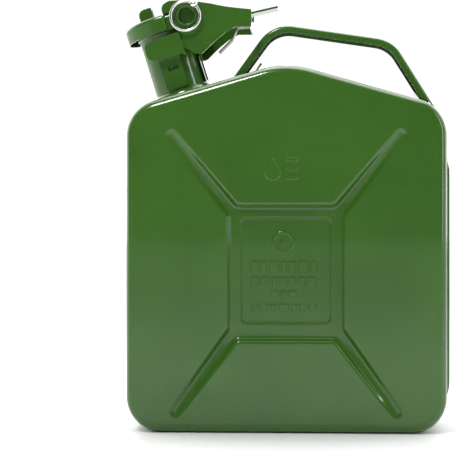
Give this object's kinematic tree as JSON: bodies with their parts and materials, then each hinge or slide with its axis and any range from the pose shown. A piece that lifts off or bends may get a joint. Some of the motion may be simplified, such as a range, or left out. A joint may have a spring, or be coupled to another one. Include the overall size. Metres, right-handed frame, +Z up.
{
  "type": "fuel can",
  "caption": "Pressed-steel jerry can with X-shaped stiffening pressings, a channel carrying handle and a leaning neck closed by a hinged cam-lever cap with a locking pin.",
  "frame": {"origin": "middle of the base, on the surface the can stands on", "axes": "+X along the broad face away from the neck, +Y through the can's thickness away from the front face, +Z up"},
  "size_m": [0.2449, 0.11, 0.3187],
  "materials": {
    "green_paint": "gloss green enamel",
    "plain_steel": "plain zinc-plated steel",
    "spring_steel": "dark oiled spring steel",
    "bright_wire": "bright nickel-plated wire",
    "gasket_rubber": "matt black rubber"
  },
  "bodies": {
    "can": {"front_shell": "green_paint", "rear_shell": "green_paint", "seam_weld": "green_paint", "neck_collar": "green_paint", "filler_neck": "green_paint", "breather_pipe": "plain_steel", "breather_clip": "plain_steel", "keeper_near": "green_paint", "keeper_far": "green_paint", "hinge_bracket": "green_paint", "hinge_pin": "plain_steel", "handle": "green_paint", "handle_foot_left": "green_paint", "handle_foot_right": "green_paint"},
    "lid": {"lid": "green_paint", "lid_strap": "green_paint", "lid_rivet": "green_paint", "gasket_plate": "plain_steel", "gasket": "gasket_rubber", "pivot_cup_near": "green_paint", "pivot_cup_far": "green_paint"},
    "lever": {"lever": "green_paint", "hold_open_spring": "spring_steel", "spring_rivet": "green_paint"},
    "locking_pin": {"locking_pin": "bright_wire"},
    "pull_ring": {"pull_ring": "bright_wire"}
  },
  "joints": [
    {"name": "lid_hinge", "type": "hinge", "parent": "can", "child": "lid", "pos_m": [-0.06513, 0, 0.30014], "axis": [0, 1, 0], "range_deg": [0, 100]},
    {"name": "lever_pivot", "type": "hinge", "parent": "lid", "child": "lever", "pos_m": [-0.07466, 0, 0.30678], "axis": [0, -1, 0], "range_deg": [0, 130]},
    {"name": "locking_pin_pull", "type": "slide", "parent": "lever", "child": "locking_pin", "axis": [0, -1, 0], "range_m": [0, 0.006]},
    {"name": "ring_swing", "type": "hinge", "parent": "locking_pin", "child": "pull_ring", "pos_m": [-0.06877, -0.0289, 0.31498], "axis": [-0.8117, 0, 0.584], "range_deg": [0, 90]}
  ],
  "couplings": [
    {"joint": "lever_pivot", "follows": "lid_hinge", "ratio": 1.3}
  ]
}
